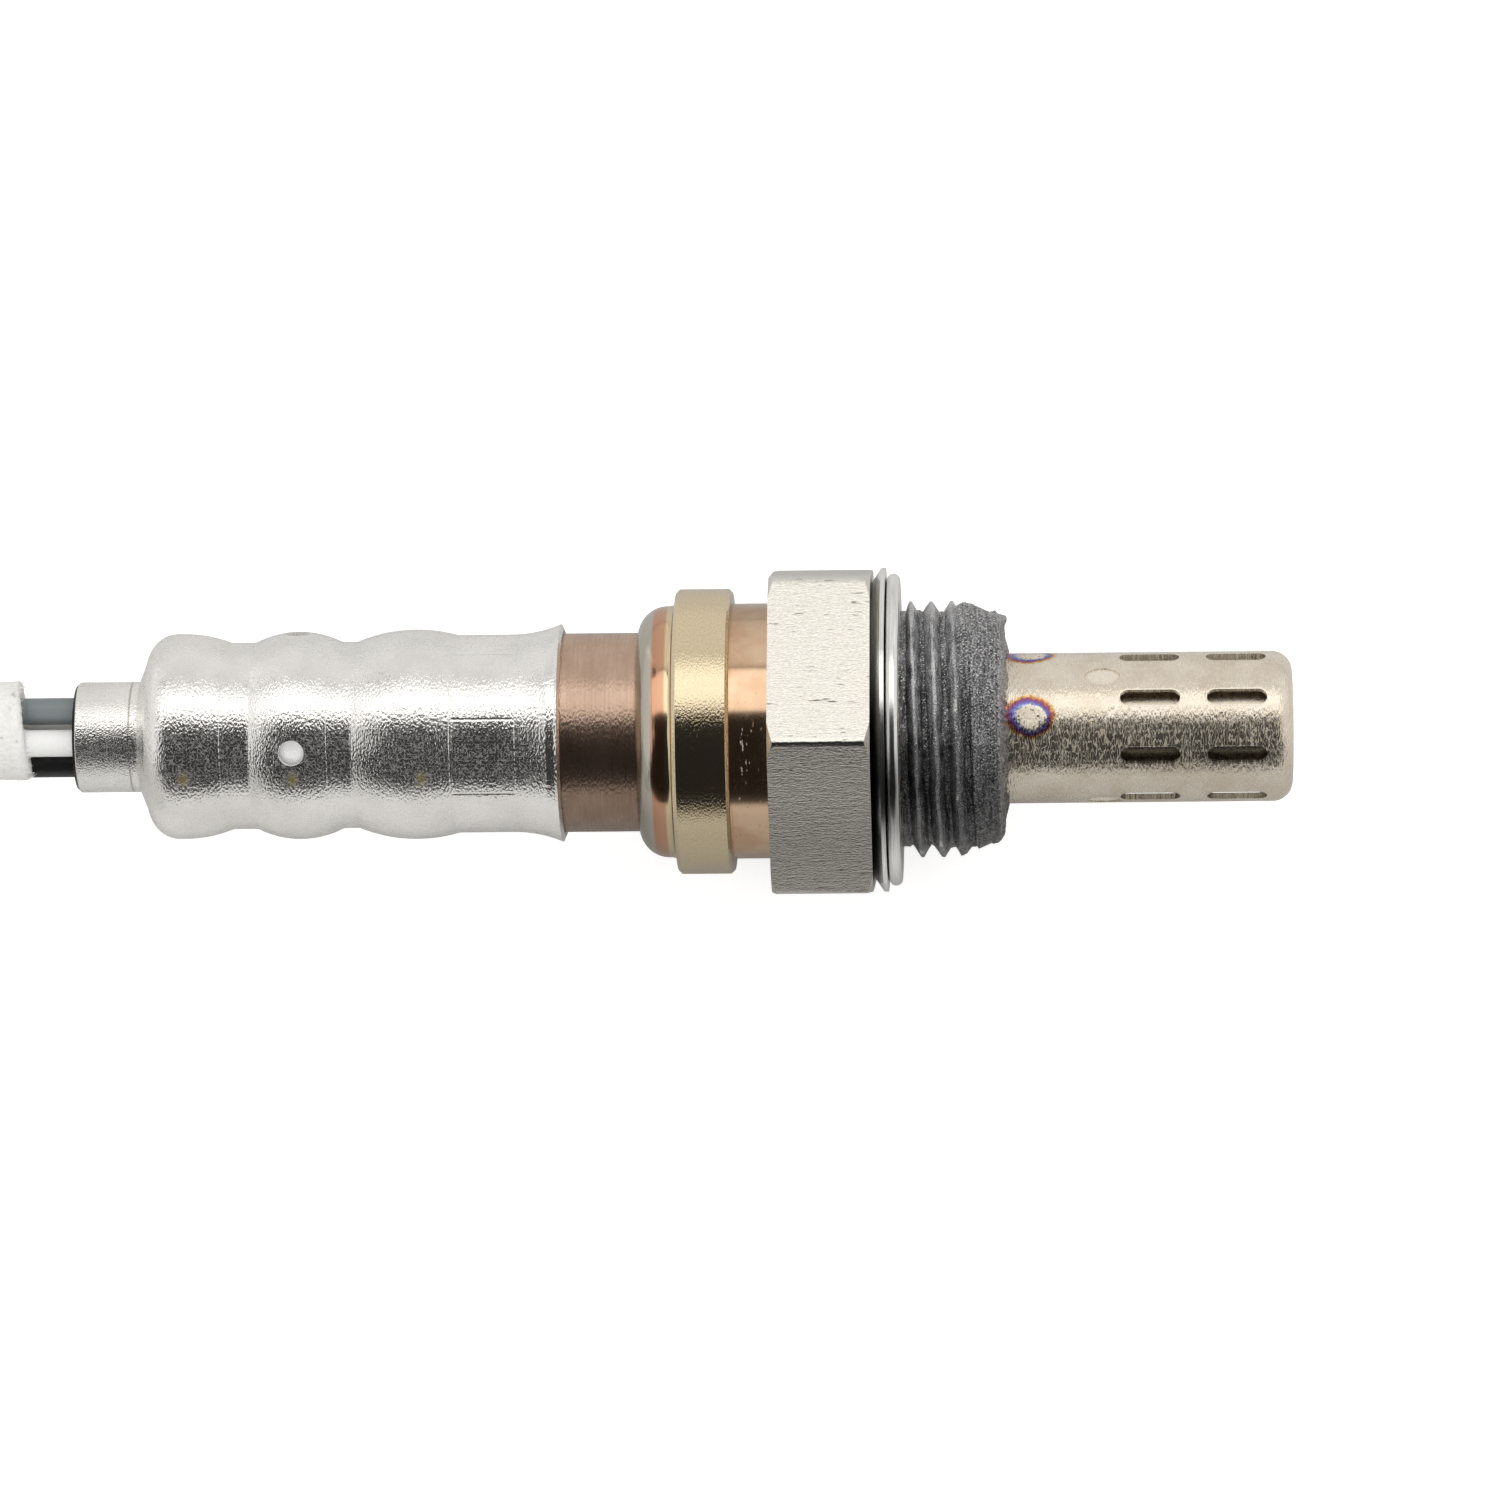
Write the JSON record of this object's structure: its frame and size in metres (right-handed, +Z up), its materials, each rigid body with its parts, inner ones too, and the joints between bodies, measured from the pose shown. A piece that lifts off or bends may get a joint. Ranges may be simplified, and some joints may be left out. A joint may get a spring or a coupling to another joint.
{
  "type": "oxygen sensor",
  "caption": "Heated exhaust oxygen sensor with a threaded hexagon body, slotted protection tube, crimped steel cover and a sleeved lead with a plug.",
  "frame": {"origin": "on the sensor's axis, at the front face of the hexagon that carries the washer", "axes": "+X along the sensor's axis towards the gas end, +Z up from the surface that the sensor lies on"},
  "size_m": [0.2029, 0.079, 0.0228],
  "materials": {
    "shell_steel": "turned and plated, with brass and copper tints",
    "gasket_steel": "rolled sheet",
    "champagne_steel": "satin, heat-tinted at the welds",
    "dark_steel": "dull",
    "bronzed_steel": "heat-tinted, finely brushed",
    "bright_steel": "bright satin",
    "contact_metal": "tinned spring strip",
    "powder": "pressed powder",
    "white_ceramic": "fired",
    "zirconia": "porous coating",
    "filter_white": "porous",
    "dark_rubber": "matt",
    "seal_rubber": "matt",
    "wire_grey": "smooth insulation",
    "wire_white": "smooth insulation",
    "wire_black": "smooth insulation",
    "woven_sleeve": "woven glass-fibre sleeve",
    "tie_plastic": "smooth",
    "connector_plastic": "moulded",
    "lock_plastic": "moulded"
  },
  "bodies": {
    "root": {"shell": "shell_steel", "gasket": "gasket_steel", "outer_protection_tube": "champagne_steel", "inner_protection_tube": "dark_steel", "thimble_washer": "gasket_steel", "talc_ring": "powder", "ceramic_bush": "white_ceramic", "packing_ring": "gasket_steel", "sensing_thimble": "zirconia", "heater_rod": "white_ceramic", "inner_cover": "bronzed_steel", "outer_cover": "bright_steel", "vent_filter": "filter_white", "terminal_block": "white_ceramic", "signal_contact": "contact_metal", "ground_contact": "contact_metal", "heater_contact_a": "contact_metal", "heater_contact_b": "contact_metal", "grommet": "dark_rubber", "lead_wire_grey": "wire_grey", "lead_wire_white_front": "wire_white", "lead_wire_black": "wire_black", "lead_wire_white_rear": "wire_white", "lead_sleeve": "woven_sleeve", "lead_coil": "woven_sleeve", "coil_tie": "tie_plastic", "connector_housing": "connector_plastic", "connector_seal": "seal_rubber", "connector_lock": "lock_plastic", "connector_face_seal": "seal_rubber", "connector_terminals": "contact_metal", "tail_wire_grey": "wire_grey", "tail_wire_white_front": "wire_white", "tail_wire_black": "wire_black", "tail_wire_white_rear": "wire_white"}
  },
  "joints": []
}
